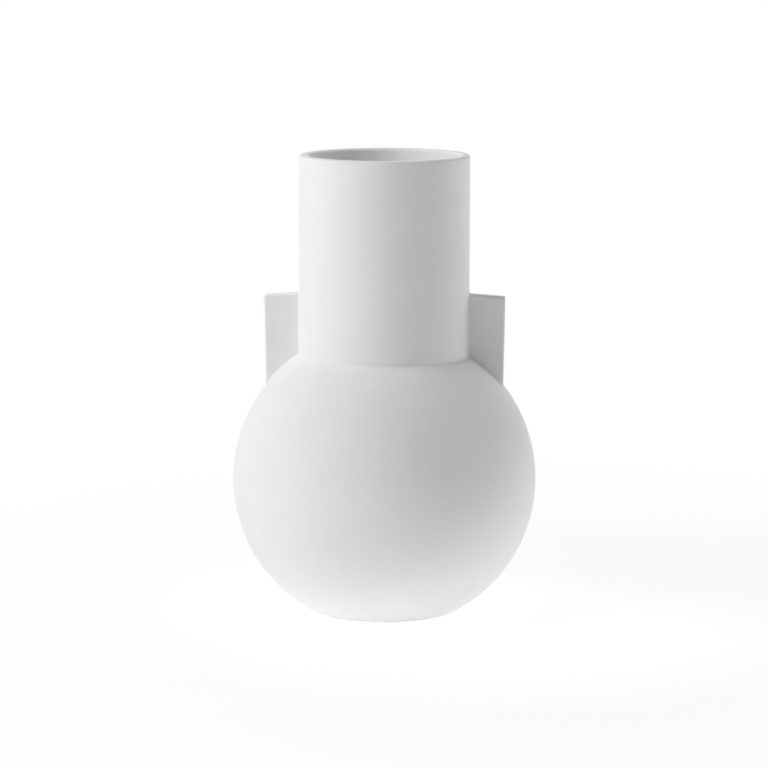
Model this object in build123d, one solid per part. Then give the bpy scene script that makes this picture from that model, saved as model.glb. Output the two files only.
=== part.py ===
from build123d import *
import os
from math import radians, sqrt, tan

# Driving dimensions, in millimetres and degrees.
# The origin is the middle of the foot, Z runs up the axis and the ears stand along X.

# Ball, made in two halves that meet at the belly in a stepped joint
BALL_DIAMETER = 170.0
BALL_WALL = 5.0
BELLY_TONGUE_WALL = 2.3
BELLY_TONGUE_HEIGHT = 4.0

# Foot and floor
FOOT_DIAMETER = 88.0
FOOT_EDGE_RADIUS = 1.5
FOOT_RING_WIDTH = 7.0
FOOT_RECESS_DEPTH = 2.0
FOOT_RECESS_FILLET = 1.2
FLOOR_THICKNESS = 5.0
FLOOR_FILLET = 12.0

# Neck, a straight tube that stands on the ball's shoulder, with a spigot in the ball's opening
NECK_DIAMETER = 94.8
NECK_LENGTH = 111.5
NECK_WALL = 5.5
SPIGOT_WALL = 2.2
LIP_EDGE_RADIUS = 1.5

# Ears, flat slabs in the angle between neck and shoulder
EAR_WIDTH = 20.0
EAR_RISE = 34.3
EAR_THICKNESS = 6.5
EAR_EDGE_RADIUS = 1.2
EAR_TOP_SLOPE = 4.0
EAR_END_DRAFT = 0.9

# Slip that joins the clay parts, and the beads that it is smoothed into
SLIP_THICKNESS = 0.5
NECK_BEAD_RADIUS = 1.0
EAR_BEAD_RADIUS = 1.2

# Glaze inside, which stops below the lip
GLAZE_THICKNESS = 0.5
GLAZE_MARGIN = 9.0

# Sizes that follow from the driving dimensions
ball_radius = BALL_DIAMETER / 2
ball_bore = ball_radius - BALL_WALL
foot_radius = FOOT_DIAMETER / 2
ball_centre = sqrt(ball_radius**2 - foot_radius**2)
tongue_radius = ball_bore + BELLY_TONGUE_WALL
tongue_height = ball_centre + BELLY_TONGUE_HEIGHT
recess_radius = foot_radius - FOOT_RING_WIDTH
floor_height = FOOT_RECESS_DEPTH + FLOOR_THICKNESS

neck_radius = NECK_DIAMETER / 2
neck_bore = neck_radius - NECK_WALL
spigot_radius = neck_bore + SPIGOT_WALL
crease_height = ball_centre + sqrt(ball_radius**2 - neck_radius**2)
vase_height = crease_height + NECK_LENGTH

ear_reach = neck_radius + EAR_WIDTH
ear_top = crease_height + EAR_RISE


# Half sections, with the radius across and the height up, that are turned about the axis

def turned(section):
    """Solid of revolution, with its seam at the back, away from the ears."""
    return revolve(Plane.YZ * section, Axis.Z)


def band(radius, low, high):
    """Rectangle from the axis out to a radius, between two heights."""
    return Pos(radius / 2, (low + high) / 2) * Rectangle(radius, high - low)


def rounded_corner(section, radius, height, rounding):
    """Section with its corner nearest to a point rounded off or filled out."""
    return fillet(section.vertices().sort_by_distance((radius, height))[0], rounding)


def ball_section(radius):
    """Half of the ball at a radius, cut flat at the foot."""
    return band(radius, 0, ball_centre + radius) & (Pos(0, ball_centre) * Circle(radius))


def outer_section():
    """Ball and neck filled solid, with a square rim and a sharp crease."""
    ball = rounded_corner(ball_section(ball_radius), foot_radius, 0, FOOT_EDGE_RADIUS)
    return ball + band(neck_radius, ball_centre, vase_height)


def hollow_section(inset):
    """Space inside the vase, drawn in all round by an inset."""
    floor = floor_height + inset
    belly = ball_section(ball_bore - inset) & band(ball_radius, floor, vase_height)
    belly = rounded_corner(belly, ball_radius, floor, FLOOR_FILLET - inset)
    return belly + band(neck_bore - inset, ball_centre, vase_height)


def wall_section():
    """Whole wall of the vase, before it is cut at its joints."""
    recess = band(recess_radius, 0, FOOT_RECESS_DEPTH)
    recess = rounded_corner(recess, recess_radius, FOOT_RECESS_DEPTH, FOOT_RECESS_FILLET)
    wall = outer_section() - hollow_section(0) - recess
    wall = rounded_corner(wall, neck_radius, vase_height, LIP_EDGE_RADIUS)
    return rounded_corner(wall, neck_bore, vase_height, LIP_EDGE_RADIUS)


def below_belly_joint(gap):
    """Everything under the stepped joint of the ball's halves, grown by a gap."""
    rim = band(ball_radius, 0, ball_centre + gap)
    return rim + band(tongue_radius + gap, 0, tongue_height + gap)


def above_neck_joint(gap):
    """Everything over the neck's seat and inside its spigot, grown by a gap."""
    over_ball = band(ball_radius, ball_centre, vase_height)
    over_ball -= ball_section(ball_radius + SLIP_THICKNESS - gap)
    return over_ball + band(spigot_radius + gap, tongue_height + SLIP_THICKNESS, vase_height)


# Turned clay parts and the slip between them

wall = wall_section()
lower_bowl = turned(wall & below_belly_joint(0))
belly_slip = turned((wall & below_belly_joint(SLIP_THICKNESS)) - below_belly_joint(0))
upper_dome = turned(wall - below_belly_joint(SLIP_THICKNESS) - above_neck_joint(SLIP_THICKNESS))
neck_tube = turned(wall & above_neck_joint(0))

plain_outer = outer_section()
crease_bead = rounded_corner(plain_outer, neck_radius, crease_height, NECK_BEAD_RADIUS) - plain_outer
neck_joint = (wall & above_neck_joint(SLIP_THICKNESS)) - above_neck_joint(0)

# The bead in the crease runs from ear to ear and stops where their slip begins
ear_zone = Box(BALL_DIAMETER, EAR_THICKNESS + 2 * EAR_BEAD_RADIUS, 2 * vase_height)
neck_slip = turned(neck_joint) + (turned(crease_bead) - ear_zone)

# Glaze that follows the inside, from the floor to a line below the lip

glaze_reach = band(ball_radius, 0, vase_height - GLAZE_MARGIN)
glaze_lining = turned((hollow_section(0) - hollow_section(GLAZE_THICKNESS)) & glaze_reach)


# Ears

def ear_slab():
    """Right ear before it is fitted, with its root inside the neck and its foot inside the ball."""
    fall = tan(radians(EAR_TOP_SLOPE))
    draft = tan(radians(EAR_END_DRAFT))
    tip_height = ear_top - EAR_WIDTH * fall
    foot_reach = ear_reach - (tip_height - ball_centre) * draft
    outline = Polyline(
        (neck_bore, ball_centre),
        (foot_reach, ball_centre),
        (ear_reach, tip_height),
        (neck_bore, ear_top + NECK_WALL * fall),
        close=True,
    )
    slab = extrude(Plane.XZ * make_face(outline), EAR_THICKNESS / 2, both=True)
    showing = [
        edge
        for edge in slab.edges()
        if edge.center().X > neck_radius and edge.center().Z > ball_centre + EAR_EDGE_RADIUS
    ]
    return fillet(showing, EAR_EDGE_RADIUS)


slab = ear_slab()
grown_neck = turned(band(neck_radius + SLIP_THICKNESS, ball_centre, vase_height))
grown_ball = turned(ball_section(ball_radius + SLIP_THICKNESS))
right_ear = slab - grown_neck - grown_ball

# The slip fills the gap behind the ear and is smoothed out to a hollow fillet all round it
filled = turned(outer_section())
joined = filled + slab
smoothed = joined.fillet(EAR_BEAD_RADIUS, new_edges(filled, slab, combined=joined))
plain_neck = turned(band(neck_radius, ball_centre, vase_height))
plain_ball = turned(ball_section(ball_radius))
right_ear_slip = smoothed - plain_ball - plain_neck - right_ear

left_ear = mirror(right_ear, Plane.YZ)
left_ear_slip = mirror(right_ear_slip, Plane.YZ)

# One file for each piece

pieces = {
    "lower_bowl": lower_bowl,
    "upper_dome": upper_dome,
    "neck_tube": neck_tube,
    "left_ear": left_ear,
    "right_ear": right_ear,
    "belly_slip": belly_slip,
    "neck_slip": neck_slip,
    "left_ear_slip": left_ear_slip,
    "right_ear_slip": right_ear_slip,
    "glaze_lining": glaze_lining,
}
os.makedirs("parts", exist_ok=True)
for name, solid in pieces.items():
    export_step(solid, f"parts/{name}.step")
    print(name, len(solid.solids()), round(solid.volume, 1))
print("height", round(vase_height, 2), "across the ears", round(2 * ear_reach, 2))
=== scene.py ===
# %% [markdown]
# # A ball vase with two ears
#
# The vase is matte white stoneware: a ball on a flat foot, a straight round neck, and a flat ear on
# each side of the neck. This lesson loads the exact CAD model as a frame, models the turned pieces
# again with finer surfaces, gives every piece its finish, and sets up a white studio around it.
# The ears and the slip around them stay as they come, because their shape is already the real one.

# %% Load the frame
import bmesh
import bpy
import math
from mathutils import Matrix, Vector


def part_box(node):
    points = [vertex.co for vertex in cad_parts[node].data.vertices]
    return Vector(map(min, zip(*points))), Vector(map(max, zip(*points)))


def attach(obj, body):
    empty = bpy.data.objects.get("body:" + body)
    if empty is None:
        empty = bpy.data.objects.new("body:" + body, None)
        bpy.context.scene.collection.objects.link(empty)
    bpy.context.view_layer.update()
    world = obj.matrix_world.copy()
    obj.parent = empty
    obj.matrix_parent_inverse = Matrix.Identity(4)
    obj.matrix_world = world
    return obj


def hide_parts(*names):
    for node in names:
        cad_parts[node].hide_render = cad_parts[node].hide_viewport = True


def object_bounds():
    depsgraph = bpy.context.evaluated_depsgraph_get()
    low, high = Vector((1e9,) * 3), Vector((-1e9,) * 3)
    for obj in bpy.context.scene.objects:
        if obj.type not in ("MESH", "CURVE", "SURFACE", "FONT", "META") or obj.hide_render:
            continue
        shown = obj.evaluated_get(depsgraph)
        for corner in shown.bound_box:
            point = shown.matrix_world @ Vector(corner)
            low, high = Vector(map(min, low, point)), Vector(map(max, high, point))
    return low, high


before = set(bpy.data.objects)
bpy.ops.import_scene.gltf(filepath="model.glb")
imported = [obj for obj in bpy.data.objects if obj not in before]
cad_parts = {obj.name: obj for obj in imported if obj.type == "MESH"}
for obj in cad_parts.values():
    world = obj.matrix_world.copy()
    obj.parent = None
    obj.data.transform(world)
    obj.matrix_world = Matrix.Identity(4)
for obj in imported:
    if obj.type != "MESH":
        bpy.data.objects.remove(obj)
cad_low, cad_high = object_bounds()
print("CAD box", [round(v, 5) for v in cad_low], [round(v, 5) for v in cad_high])

# %% [markdown]
# ## Sizes
#
# Everything is in metres. The frame gives the sizes that have to agree with the CAD model: the box of
# a turned node holds its radius and its heights. The foot and the walls show in no box, so their sizes
# are written here. The ball's middle follows from the circle that the foot cuts from it, and the height
# of the crease from the circle where the neck meets it.

# %% Measure the frame
bowl_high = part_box("lower_bowl")[1]
tube_low, tube_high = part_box("neck_tube")

BALL_RADIUS = min(bowl_high.x, bowl_high.y)
NECK_RADIUS = min(tube_high.x, tube_high.y)
RIM_HEIGHT = tube_high.z
SPIGOT_HEIGHT = tube_low.z

FOOT_RADIUS = 0.044
FOOT_RING = 0.007
FOOT_RECESS = 0.002
BALL_WALL = 0.005
NECK_WALL = 0.0055

ball_centre = math.sqrt(BALL_RADIUS**2 - FOOT_RADIUS**2)
crease_height = ball_centre + math.sqrt(BALL_RADIUS**2 - NECK_RADIUS**2)
ring_inside = FOOT_RADIUS - FOOT_RING
neck_inside = NECK_RADIUS - NECK_WALL
print("ball", BALL_RADIUS, "neck", NECK_RADIUS, "crease", round(crease_height, 5), "rim", RIM_HEIGHT)

# %% [markdown]
# ## Ball
#
# On the real vase the ball is joined from two halves, and the joint is sponged away before firing, so
# nothing of it shows. One piece for the whole ball is therefore right for the looks, and it covers the
# two halves and the slip between them. A ball could start as a UV sphere, but its rings would not fall
# on the foot and on the crease. Here half of the outline is drawn in the plane y = 0, to be turned
# round the Z axis later. A circle that is cut by three planes ends exactly on the foot and the crease.

# %% Draw the ball's outline
OUTLINE_POINTS = 192


def start_clean():
    """Nothing selected, in object mode, before a new piece is begun."""
    if bpy.context.mode != "OBJECT":
        bpy.ops.object.mode_set(mode="OBJECT")
    bpy.ops.object.select_all(action="DESELECT")


def cut_away(at, keep):
    """Cuts the whole outline by a plane and drops the side that the direction keep points away from."""
    bpy.ops.mesh.select_all(action="SELECT")
    bpy.ops.mesh.bisect(plane_co=at, plane_no=keep, clear_inner=True)


start_clean()
bpy.ops.mesh.primitive_circle_add(
    vertices=OUTLINE_POINTS,
    radius=BALL_RADIUS,
    location=(0, 0, ball_centre),
    rotation=(math.pi / 2, 0, 0),
)
ball = bpy.context.object
ball.name = "ball"
bpy.ops.object.transform_apply(location=True, rotation=True, scale=True)
bpy.ops.object.mode_set(mode="EDIT")
cut_away(at=(0, 0, 0), keep=(1, 0, 0))
cut_away(at=(0, 0, 0), keep=(0, 0, 1))
cut_away(at=(0, 0, crease_height), keep=(0, 0, -1))
print("outline of the ball has", len(bmesh.from_edit_mesh(ball.data).verts), "points")

# %% [markdown]
# ## Foot
#
# The vase stands on a narrow ring around a shallow recess, which is how a thrown foot is trimmed so
# that it can't rock. The recess could be cut into the finished ball, but in the outline it takes only
# three steps: in along the ring, up the recess, and in to the axis. Each step extrudes the outline's end.
# Then a vertex bevel softens the three corners as a wet sponge leaves them.

# %% Draw the foot
FOOT_EDGE = 0.0009
RING_EDGE = 0.0006
RECESS_EDGE = 0.0012


def pick(piece, *places):
    """Selects only the outline's points nearest to the given (radius, height) places."""
    bpy.ops.mesh.select_all(action="DESELECT")
    mesh = bmesh.from_edit_mesh(piece.data)
    for radius, height in places:
        point = min(mesh.verts, key=lambda v: (v.co.x - radius) ** 2 + (v.co.z - height) ** 2)
        point.select_set(True)
    mesh.select_flush_mode()
    bmesh.update_edit_mesh(piece.data)


def draw_to(across, up):
    """Extrudes the selected end of the outline by one straight step."""
    step = {"value": (across, 0, up)}
    bpy.ops.mesh.extrude_vertices_move(TRANSFORM_OT_translate=step)


def round_corner(piece, place, reach, steps):
    """Rounds the corner at a place. The curve starts at a reach from it along both edges."""
    pick(piece, place)
    bpy.ops.mesh.bevel(offset=reach, segments=steps, affect="VERTICES")


pick(ball, (FOOT_RADIUS, 0))
draw_to(-FOOT_RING, 0)
draw_to(0, FOOT_RECESS)
draw_to(-ring_inside, 0)
round_corner(ball, (FOOT_RADIUS, 0), reach=FOOT_EDGE, steps=5)
round_corner(ball, (ring_inside, 0), reach=RING_EDGE, steps=4)
round_corner(ball, (ring_inside, FOOT_RECESS), reach=RECESS_EDGE, steps=4)
print("with its foot it has", len(bmesh.from_edit_mesh(ball.data).verts), "points")

# %% [markdown]
# ## Turning
#
# Ball and neck are turned on a wheel. A Screw modifier could turn an outline too, but the Spin operator
# does it at once and in plain sight: it copies the outline round the axis and joins the copies with
# faces. After a full turn the last copy lies on the first, and the points on the axis lie on each other,
# so doubles are merged. Then the faces are made to look outwards and are shaded smooth, except at corners.

# %% Turn the ball
SPIN_STEPS = 160
WELD_DISTANCE = 1e-6
CORNER_ANGLE = math.radians(40)


def turn():
    """Turns the outline in edit mode once round the Z axis and closes the seam and the poles."""
    bpy.ops.mesh.select_all(action="SELECT")
    bpy.ops.mesh.spin(steps=SPIN_STEPS, angle=2 * math.pi, center=(0, 0, 0), axis=(0, 0, 1))
    bpy.ops.mesh.select_all(action="SELECT")
    bpy.ops.mesh.remove_doubles(threshold=WELD_DISTANCE)
    bpy.ops.mesh.normals_make_consistent(inside=False)
    bpy.ops.object.mode_set(mode="OBJECT")
    bpy.ops.object.shade_smooth_by_angle(angle=CORNER_ANGLE)


def report(piece):
    """Prints a piece's faces, the edges that are still open, and the volume that it encloses."""
    mesh = bmesh.new()
    mesh.from_mesh(piece.data)
    loose = sum(not edge.is_manifold for edge in mesh.edges)
    millilitres = round(mesh.calc_volume() * 1e6, 1)
    print(piece.name, "faces", len(mesh.faces), "open edges", loose, "volume ml", millilitres)
    mesh.free()


turn()
report(ball)

# %% [markdown]
# ## Wall of the ball
#
# So far the ball is a skin that is open at the top. The real wall is 5 mm of clay. An inner outline
# could be drawn as well, but the Solidify modifier gives an even wall in one step. It grows inwards,
# so the outside keeps its size, and the new edge at the top lies hidden under the neck.

# %% Give the ball its wall
wall = ball.modifiers.new("clay wall", "SOLIDIFY")
wall.thickness = BALL_WALL
wall.offset = -1
wall.use_even_offset = True
bpy.ops.object.modifier_apply(modifier=wall.name)
report(ball)

# %% [markdown]
# ## Neck
#
# The neck is a straight tube with a flat lip whose edges are sponged round. A cylinder with a Solidify
# modifier would need its lip and its crease added afterwards. A rectangle the size of the wall's section
# already has the right corners, so a plane is stood upright, scaled to the section and moved out to the
# wall. Only its edges are needed, and its lower one makes way for the crease.

# %% Draw the neck's section
start_clean()
bpy.ops.mesh.primitive_plane_add(size=1, rotation=(math.pi / 2, 0, 0))
neck = bpy.context.object
neck.name = "neck"
bpy.ops.transform.resize(value=(NECK_WALL, 1, RIM_HEIGHT - crease_height))
bpy.ops.transform.translate(value=(NECK_RADIUS - NECK_WALL / 2, 0, (RIM_HEIGHT + crease_height) / 2))
bpy.ops.object.transform_apply(location=True, rotation=True, scale=True)
bpy.ops.object.mode_set(mode="EDIT")
bpy.ops.mesh.select_all(action="SELECT")
bpy.ops.mesh.delete(type="ONLY_FACE")
pick(neck, (NECK_RADIUS, crease_height), (neck_inside, crease_height))
bpy.ops.mesh.delete(type="EDGE")
print("section of the neck has", len(bmesh.from_edit_mesh(neck.data).verts), "corners")

# %% [markdown]
# ## Crease and lip
#
# Where the neck stands on the ball, slip has been wiped into the crease and leaves a fine hollow curve.
# The section's lower outer corner is drawn out along the ball and bevelled to that curve, which keeps
# neck and slip one smooth surface. Its lower inner corner goes down into the ball as the real neck's
# spigot does, the section is closed, and the two upper corners become the lip. Then it is turned.

# %% Flare the crease, round the lip and turn the neck
FLARE = 0.0012
CREASE_ROUNDING = 0.0006
LIP_ROUNDING = 0.0015

flare_radius = NECK_RADIUS + FLARE
flare_drop = crease_height - ball_centre - math.sqrt(BALL_RADIUS**2 - flare_radius**2)
pick(neck, (NECK_RADIUS, crease_height))
draw_to(FLARE, -flare_drop)
pick(neck, (neck_inside, crease_height))
draw_to(0, SPIGOT_HEIGHT - crease_height)
pick(neck, (flare_radius, crease_height - flare_drop), (neck_inside, SPIGOT_HEIGHT))
bpy.ops.mesh.edge_face_add()
round_corner(neck, (NECK_RADIUS, crease_height), reach=CREASE_ROUNDING, steps=5)
round_corner(neck, (NECK_RADIUS, RIM_HEIGHT), reach=LIP_ROUNDING, steps=7)
round_corner(neck, (neck_inside, RIM_HEIGHT), reach=LIP_ROUNDING, steps=7)
turn()
report(neck)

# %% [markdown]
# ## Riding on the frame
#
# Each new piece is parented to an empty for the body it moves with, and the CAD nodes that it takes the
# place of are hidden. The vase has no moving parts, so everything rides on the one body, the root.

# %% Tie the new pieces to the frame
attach(ball, "root")
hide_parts("lower_bowl", "upper_dome", "belly_slip")
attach(neck, "root")
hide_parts("neck_tube", "neck_slip")
print("ball and neck ride on the root")

# %% [markdown]
# ## Bisque
#
# The outside is unglazed stoneware with a fine white slip on it: quite matte, almost even in tone, with
# a faint cloudiness from the sponge, a grain like very fine sandpaper and a few pinholes. It could be
# painted on a UV map, but noise needs no seams. Three sizes of noise in Object coordinates carry the
# finish. The pieces share one origin, so the pattern runs on from the ball to the neck and the ears.

# %% Start the bisque
def new_material(name):
    """New node material. Gives the material, its node tree and its Principled shader."""
    material = bpy.data.materials.new(name)
    material.use_nodes = True
    tree = material.node_tree
    return material, tree, tree.nodes["Principled BSDF"]


def add(tree, kind, label, **inputs):
    """Adds a node with a label and sets some of its inputs by name."""
    node = tree.nodes.new(kind)
    node.label = label
    for name, value in inputs.items():
        node.inputs[name.replace("_", " ")].default_value = value
    return node


def noise(tree, coords, label, size, detail, roughness=0.5):
    """Noise whose blotches are about one size, in metres, across."""
    node = add(tree, "ShaderNodeTexNoise", label, Scale=1 / size, Detail=detail, Roughness=roughness)
    tree.links.new(coords, node.inputs["Vector"])
    return node.outputs["Fac"]


bisque, tree, shader = new_material("bisque")
coords = add(tree, "ShaderNodeTexCoord", "place on the vase").outputs["Object"]
sponge = noise(tree, coords, "sponge clouds", size=0.045, detail=3)
mottle = noise(tree, coords, "mottle", size=0.006, detail=2)
grain = noise(tree, coords, "grain", size=0.0007, detail=3, roughness=0.6)
print("bisque has", len(tree.nodes), "nodes so far")

# %% [markdown]
# ## Tone of the clay
#
# White stoneware is never one flat colour. Where the sponge has passed, the slip is a little thinner
# and darker, and some of its grains fire paler. A colour ramp on each noise would do, but Map Range and
# Mix nodes keep every step in sight: the clouds mix two tones, and the mottle adds pale flecks.

# %% Mix the tone
CLAY = (0.815, 0.815, 0.812)
PALE_CLAY = (0.845, 0.845, 0.841)
PALE_FLECK = (0.87, 0.87, 0.866)


def spread(tree, value, label, reach, result):
    """Spreads a value's reach, given from one end to the other, to a result, and holds it at the ends."""
    ends = {"From_Min": reach[0], "From_Max": reach[1], "To_Min": result[0], "To_Max": result[1]}
    node = add(tree, "ShaderNodeMapRange", label, **ends)
    tree.links.new(value, node.inputs["Value"])
    return node.outputs["Result"]


def blend(tree, share, label, first, second):
    """Mixes two colours. Each is a colour or an output of another node."""
    node = add(tree, "ShaderNodeMix", label)
    node.data_type = "RGBA"
    tree.links.new(share, node.inputs["Factor"])
    for socket, colour in (("A", first), ("B", second)):
        place = [s for s in node.inputs if s.name == socket and s.type == "RGBA"][0]
        if isinstance(colour, tuple):
            place.default_value = (*colour, 1)
        else:
            tree.links.new(colour, place)
    return [s for s in node.outputs if s.type == "RGBA"][0]


clouds = spread(tree, sponge, "soft clouds", reach=(0.3, 0.7), result=(0, 1))
body_tone = blend(tree, clouds, "clay tone", CLAY, PALE_CLAY)
flecks = spread(tree, mottle, "pale flecks", reach=(0.55, 0.75), result=(0, 0.35))
body_tone = blend(tree, flecks, "flecked tone", body_tone, PALE_FLECK)
print("clay tone from", CLAY, "to", PALE_CLAY)

# %% [markdown]
# ## Pinholes
#
# A pinhole is where a bubble in the slip has burst. Modelled pits would need a very dense mesh, so
# Voronoi cells place them in the material: the distance to the middle of a cell makes a small round
# pit, and the cell's random colour leaves most cells without one. The pits are painted darker than the
# clay, as painted shade in the hollows.

# %% Add pinholes
PINHOLE_SPACING = 0.005
PAINTED_PIT_SHADE = (0.6, 0.6, 0.59)


def where_both(tree, first, second, label):
    """Product of two masks, which shows only where both of them do."""
    node = add(tree, "ShaderNodeMath", label)
    node.operation = "MULTIPLY"
    tree.links.new(first, node.inputs[0])
    tree.links.new(second, node.inputs[1])
    return node.outputs["Value"]


cells = add(tree, "ShaderNodeTexVoronoi", "pinhole cells", Scale=1 / PINHOLE_SPACING)
tree.links.new(coords, cells.inputs["Vector"])
cell_number = add(tree, "ShaderNodeSeparateColor", "cell's own number")
tree.links.new(cells.outputs["Color"], cell_number.inputs["Color"])
pit = spread(tree, cells.outputs["Distance"], "pit", reach=(0.02, 0.05), result=(1, 0))
chosen = spread(tree, cell_number.outputs["Red"], "one in seven", reach=(0.86, 0.87), result=(0, 1))
pinhole = where_both(tree, pit, chosen, "pinhole")
# Painted shade: each pit is made darker, as the shade inside a small hollow.
body_tone = blend(tree, pinhole, "painted shade in the pit", body_tone, PAINTED_PIT_SHADE)
print("pinholes in cells of", PINHOLE_SPACING * 1000, "mm")

# %% [markdown]
# ## Scuffed foot
#
# The foot ring is what a vase is pushed along the table on, so its underside is rubbed grey in patches.
# It could have a material of its own, but the wear has no clear border. The height above the table
# makes a mask for the lowest millimetre, and the mottle breaks it up.

# %% Scuff the foot
SCUFF_HEIGHT = (0.0003, 0.0014)
SCUFF_SHADE = (0.62, 0.61, 0.59)


def split(tree, coords):
    """Node that gives the X, Y and Z of a place by themselves."""
    node = add(tree, "ShaderNodeSeparateXYZ", "height and sides")
    tree.links.new(coords, node.inputs["Vector"])
    return node


place = split(tree, coords)
near_table = spread(tree, place.outputs["Z"], "near the table", reach=SCUFF_HEIGHT, result=(1, 0))
patches = spread(tree, mottle, "rubbed in patches", reach=(0.4, 0.6), result=(0.2, 0.9))
rubbed = where_both(tree, near_table, patches, "rubbed")
body_tone = blend(tree, rubbed, "scuffed foot", body_tone, SCUFF_SHADE)
print("foot is scuffed up to", SCUFF_HEIGHT[1] * 1000, "mm")

# %% [markdown]
# ## Film of wiped glaze
#
# The upper inner wall of the neck and the inner half of the lip are painted paler than the clay, which is
# painted light falling in through the mouth. A thin extra mesh would flicker against the wall, so the
# painted light is a mask on the clay: whole at the inner wall, fading out over the lip, and only above the
# ball.

# %% Paint light on the inside of the neck
PAINTED_LIGHT_RADII = (neck_inside + 0.0005, neck_inside + 0.0033)
PAINTED_LIGHT_HEIGHT = (0.15, 0.16)
PAINTED_LIGHT_TONE = (0.92, 0.92, 0.915)

across = add(tree, "ShaderNodeCombineXYZ", "place across the axis")
tree.links.new(place.outputs["X"], across.inputs["X"])
tree.links.new(place.outputs["Y"], across.inputs["Y"])
radius = add(tree, "ShaderNodeVectorMath", "distance from the axis")
radius.operation = "LENGTH"
tree.links.new(across.outputs["Vector"], radius.inputs[0])
inside = spread(tree, radius.outputs["Value"], "inside the neck", reach=PAINTED_LIGHT_RADII, result=(0.9, 0))
high_up = spread(tree, place.outputs["Z"], "above the ball", reach=PAINTED_LIGHT_HEIGHT, result=(0, 1))
painted_light = where_both(tree, inside, high_up, "painted light inside the neck")
# Painted light: the inner neck wall and the inner lip get a paler tone where light falls in through the
# mouth.
body_tone = blend(tree, painted_light, "painted light on the clay", body_tone, PAINTED_LIGHT_TONE)
tree.links.new(body_tone, shader.inputs["Base Color"])
print("film fades between the radii", [round(v, 4) for v in PAINTED_LIGHT_RADII])

# %% [markdown]
# ## Roughness and relief of the bisque
#
# Fired slip scatters light in all directions, so the surface is very rough and reflects little. The
# roughness comes from the grain, and so does the finest bump, so a duller speck is also a slightly
# higher one. The wheel leaves very shallow rings that only show in raking light. They are far finer than
# the mesh, so a Wave texture along Z makes them as bump. The pinholes are bumped inwards.

# %% Give the bisque its relief
DULL_SPECULAR = 0.3


def bump(tree, height, label, strength, distance, under=None, inwards=False):
    """Bump from a height, outwards or inwards, on top of another bump where one is given."""
    node = add(tree, "ShaderNodeBump", label, Strength=strength, Distance=distance)
    node.invert = inwards
    tree.links.new(height, node.inputs["Height"])
    if under:
        tree.links.new(under, node.inputs["Normal"])
    return node.outputs["Normal"]


dullness = spread(tree, grain, "dull and duller", reach=(0.3, 0.7), result=(0.74, 0.92))
tree.links.new(dullness, shader.inputs["Roughness"])
shader.inputs["Specular IOR Level"].default_value = DULL_SPECULAR
ring_shape = {"Scale": 24.0, "Distortion": 1.2, "Detail": 1.5, "Detail_Scale": 0.6}
rings = add(tree, "ShaderNodeTexWave", "wheel rings", **ring_shape)
rings.bands_direction = "Z"
tree.links.new(coords, rings.inputs["Vector"])
relief = bump(tree, rings.outputs["Fac"], "wheel relief", strength=0.05, distance=0.0004)
relief = bump(tree, mottle, "sponged relief", strength=0.06, distance=0.0004, under=relief)
relief = bump(tree, grain, "grain relief", strength=0.15, distance=0.0001, under=relief)
relief = bump(tree, pinhole, "pits", strength=0.4, distance=0.0003, under=relief, inwards=True)
tree.links.new(relief, shader.inputs["Normal"])
print("bisque is done with", len(tree.nodes), "nodes")

# %% [markdown]
# ## Where the bisque goes
#
# The ears are cut from the same clay, and the slip around them is that clay in water, so all of them
# fire to the same finish. One material for all of them keeps the pattern whole. A new piece gets it as
# its first material, and a CAD node gets it in the slot that it already has.

# %% Put the bisque on ball, neck and ears
for piece in (ball, neck):
    piece.data.materials.append(bisque)
for name in ("left_ear", "right_ear", "left_ear_slip", "right_ear_slip"):
    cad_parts[name].material_slots[0].material = bisque
print("bisque on", bisque.users, "meshes")

# %% [markdown]
# ## Glaze inside
#
# Bisque soaks up water, so the inside has a thin clear-white glaze up to just below the lip. It is
# smoother and has a satin gloss, lies a little unevenly like orange peel, and runs thicker and
# cooler towards the floor. The CAD lining has the right shape and only needs this finish, which is
# made from two sizes of noise and the height in the vase.

# %% Mix the glaze
THIN_GLAZE = (0.89, 0.89, 0.885)
BRIGHT_GLAZE = (0.925, 0.925, 0.92)
POOLED_GLAZE = (0.85, 0.87, 0.87)
POOL_HEIGHT = (0.007, 0.05)

glaze, tree, shader = new_material("glaze")
coords = add(tree, "ShaderNodeTexCoord", "place in the vase").outputs["Object"]
flow = noise(tree, coords, "flow", size=0.02, detail=2)
peel = noise(tree, coords, "orange peel", size=0.0025, detail=1)
thin_tone = blend(tree, flow, "thin glaze", THIN_GLAZE, BRIGHT_GLAZE)
up = split(tree, coords).outputs["Z"]
pooled = spread(tree, up, "pooled low down", reach=POOL_HEIGHT, result=(0.7, 0))
tone = blend(tree, pooled, "pooled glaze", thin_tone, POOLED_GLAZE)
tree.links.new(tone, shader.inputs["Base Color"])
satin = spread(tree, flow, "satin", reach=(0.3, 0.7), result=(0.32, 0.48))
tree.links.new(satin, shader.inputs["Roughness"])
peel_relief = bump(tree, peel, "peel", strength=0.08, distance=0.0003)
tree.links.new(peel_relief, shader.inputs["Normal"])
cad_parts["glaze_lining"].material_slots[0].material = glaze
print("glaze on the lining has", len(tree.nodes), "nodes")

# %% [markdown]
# ## Studio table
#
# The vase stands on a large white table in a white studio, and in the picture the table melts into the
# background. It is a plain large plane. In the picture the underside of the ball is nearly as bright
# as its lit side, so the table throws much light up. Lamps that lie on the table would show from other
# sides, so the table itself gives light, most of it under and to the right of the vase, and less from a
# hand's breadth away.

# %% Lay the table
FLOOR_SIZE = 12.0
TABLE_PAINT = (0.85, 0.85, 0.85, 1)
BRIGHTEST = (0.06, -0.02, 0)

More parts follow.
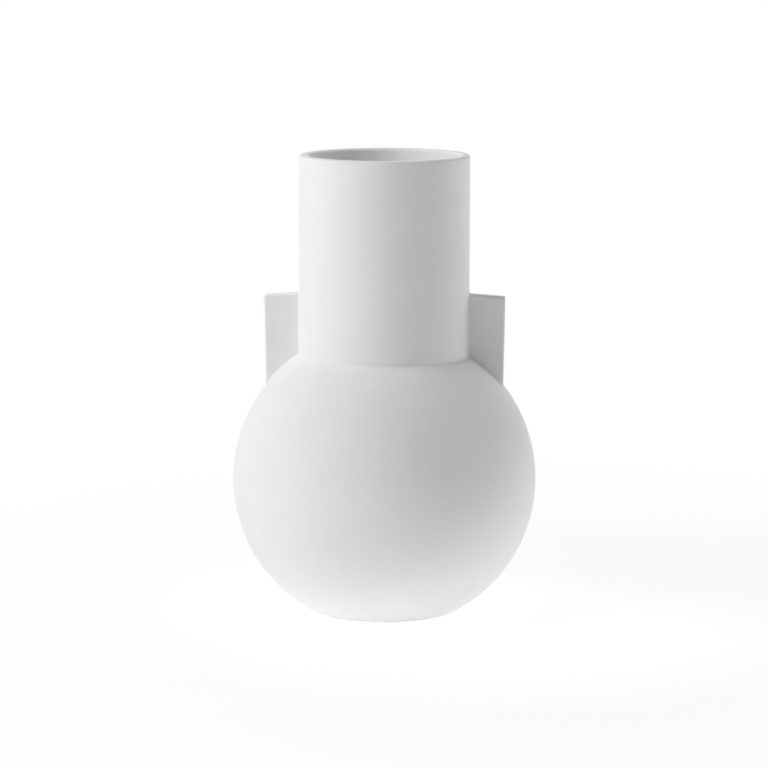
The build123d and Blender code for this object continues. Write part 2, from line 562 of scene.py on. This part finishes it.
start_clean()
bpy.ops.mesh.primitive_plane_add(size=FLOOR_SIZE)
floor = bpy.context.object
floor.name = "floor"
table = bpy.data.materials.new("white table")
table.use_nodes = True
tree = table.node_tree
tree.nodes.clear()
paint = add(tree, "ShaderNodeBsdfDiffuse", "paint", Color=TABLE_PAINT)
spot = add(tree, "ShaderNodeTexCoord", "place on the table").outputs["Object"]
far = add(tree, "ShaderNodeVectorMath", "distance from the brightest place")
far.operation = "DISTANCE"
far.inputs[1].default_value = BRIGHTEST
tree.links.new(spot, far.inputs[0])
table_distance = far.outputs["Value"]
glow = spread(tree, table_distance, "bright by the vase", reach=(0.08, 0.2), result=(0.49, 0.24))
table_light = add(tree, "ShaderNodeEmission", "light from the table")
tree.links.new(glow, table_light.inputs["Strength"])
lit = tree.nodes.new("ShaderNodeAddShader")
tree.links.new(paint.outputs["BSDF"], lit.inputs[0])
tree.links.new(table_light.outputs["Emission"], lit.inputs[1])
print("table", FLOOR_SIZE, "m across, brightest at", BRIGHTEST)

# %% [markdown]
# ## Who sees the white
#
# A table lit to pure white would throw far too much light on the vase. The Light Path node tells rays
# apart, so only some of them need to see white. The rays that light the vase see the table as it is.
# The camera and mirror images see it partly as plain white: 70 percent close to the vase, where the
# shadow falls, and all of it from half a metre away, so that the table ends without an edge.

# %% Show the table white to the camera
def seen_directly(tree):
    """1 for rays from the camera and for mirror images, 0 for the rays that light the vase."""
    path = tree.nodes.new("ShaderNodeLightPath")
    either = path.outputs["Is Camera Ray"]
    for name in ("Is Glossy Ray", "Is Transmission Ray"):
        larger = tree.nodes.new("ShaderNodeMath")
        larger.operation = "MAXIMUM"
        tree.links.new(either, larger.inputs[0])
        tree.links.new(path.outputs[name], larger.inputs[1])
        either = larger.outputs["Value"]
    return either


def mix_shaders(tree, share, first, second):
    """Shader that goes from the first to the second as the share goes from 0 to 1."""
    node = tree.nodes.new("ShaderNodeMixShader")
    tree.links.new(share, node.inputs["Fac"])
    tree.links.new(first, node.inputs[1])
    tree.links.new(second, node.inputs[2])
    return node.outputs["Shader"]


whiteness = spread(tree, table_distance, "whiter further off", reach=(0.15, 0.5), result=(0.7, 1))
white = add(tree, "ShaderNodeEmission", "white", Strength=1.0)
whitened = mix_shaders(tree, whiteness, lit.outputs["Shader"], white.outputs["Emission"])
shown = mix_shaders(tree, seen_directly(tree), lit.outputs["Shader"], whitened)
output = tree.nodes.new("ShaderNodeOutputMaterial")
tree.links.new(shown, output.inputs["Surface"])
floor.data.materials.append(table)
print("the table shows white and keeps the shadow")

# %% [markdown]
# ## Walls of the studio
#
# Pale walls and a ceiling send a weak even light from all round, which keeps the shaded side of the
# vase open. Modelled walls would have to be kept out of every view, so the world gives this light. As
# with the table, the camera and mirror images see it as pure white.

# %% Light from all round
WALL_LIGHT = 0.197
WHITE = (1, 1, 1, 1)

world = bpy.data.worlds.new("white studio")
bpy.context.scene.world = world
world.use_nodes = True
tree = world.node_tree
tree.nodes.clear()
walls = add(tree, "ShaderNodeBackground", "light from the walls", Color=WHITE, Strength=WALL_LIGHT)
backdrop = add(tree, "ShaderNodeBackground", "white backdrop", Color=WHITE, Strength=1.0)
around = mix_shaders(
    tree,
    seen_directly(tree),
    walls.outputs["Background"],
    backdrop.outputs["Background"],
)
output = tree.nodes.new("ShaderNodeOutputWorld")
tree.links.new(around, output.inputs["Surface"])
print("world", world.name, "at strength", WALL_LIGHT)

# %% [markdown]
# ## Lamps
#
# Soft light from the upper left models the vase, a weaker one from the right and behind lightens the
# far edge of its shaded side, and a lit wall behind it brightens the outline. Sun or point lamps would
# cast hard shadows, so all three are area lamps about as large as a window. Each looks at the vase's
# middle. They stay weak enough that no part of the white vase clips.

# %% Hang the lamps
def soft_lamp(name, turned, away, height, width, tall, power):
    """Large lamp round the vase by an angle from the front, which looks at the vase's middle."""
    start_clean()
    turn_angle = math.radians(turned)
    corner = (away * math.sin(turn_angle), -away * math.cos(turn_angle), height)
    bpy.ops.object.light_add(type="AREA", location=corner)
    lamp = bpy.context.object
    lamp.name = lamp.data.name = name
    lamp.data.shape = "RECTANGLE"
    lamp.data.size = width
    lamp.data.size_y = tall
    lamp.data.energy = power
    middle = (cad_low + cad_high) / 2
    lamp.rotation_euler = (middle - lamp.location).to_track_quat("-Z", "Y").to_euler()
    print(name, [round(v, 2) for v in corner], power, "W")


soft_lamp("left window", turned=-65, away=1.3, height=1.2, width=1.2, tall=1.8, power=22.0)
soft_lamp("right wall", turned=115, away=1.5, height=0.45, width=1.2, tall=0.85, power=8.0)
soft_lamp("back wall", turned=180, away=1.5, height=0.9, width=2.0, tall=1.5, power=7.0)

# %% [markdown]
# ## Camera
#
# The ovals of the mouth, the crease and the foot give the camera's height and distance, and where the
# ears meet the ball shows that the vase is turned a few degrees, with its right ear nearer. A constraint
# could aim the camera, but plain angles set its place in the picture to a fraction of a pixel.
# It looks down a little, because a shifted lens would spoil the views from other sides.

# %% Set the camera
CAMERA_DISTANCE = 1.5122
CAMERA_HEIGHT = 0.3796
CAMERA_TURN = math.radians(4.0)
CAMERA_TILT = math.radians(9.517)
CAMERA_PAN = math.radians(0.0095)
CAMERA_LENS = 128.25

start_clean()
bpy.ops.object.camera_add(
    location=(
        CAMERA_DISTANCE * math.sin(CAMERA_TURN),
        -CAMERA_DISTANCE * math.cos(CAMERA_TURN),
        CAMERA_HEIGHT,
    ),
    rotation=(math.pi / 2 - CAMERA_TILT, 0, CAMERA_TURN + CAMERA_PAN),
)
camera = bpy.context.object
camera.name = "camera"
camera.data.lens = CAMERA_LENS
bpy.context.scene.camera = camera
bpy.context.scene.view_settings.view_transform = "Standard"
print("camera", [round(v, 3) for v in camera.location], "lens", CAMERA_LENS, "mm")
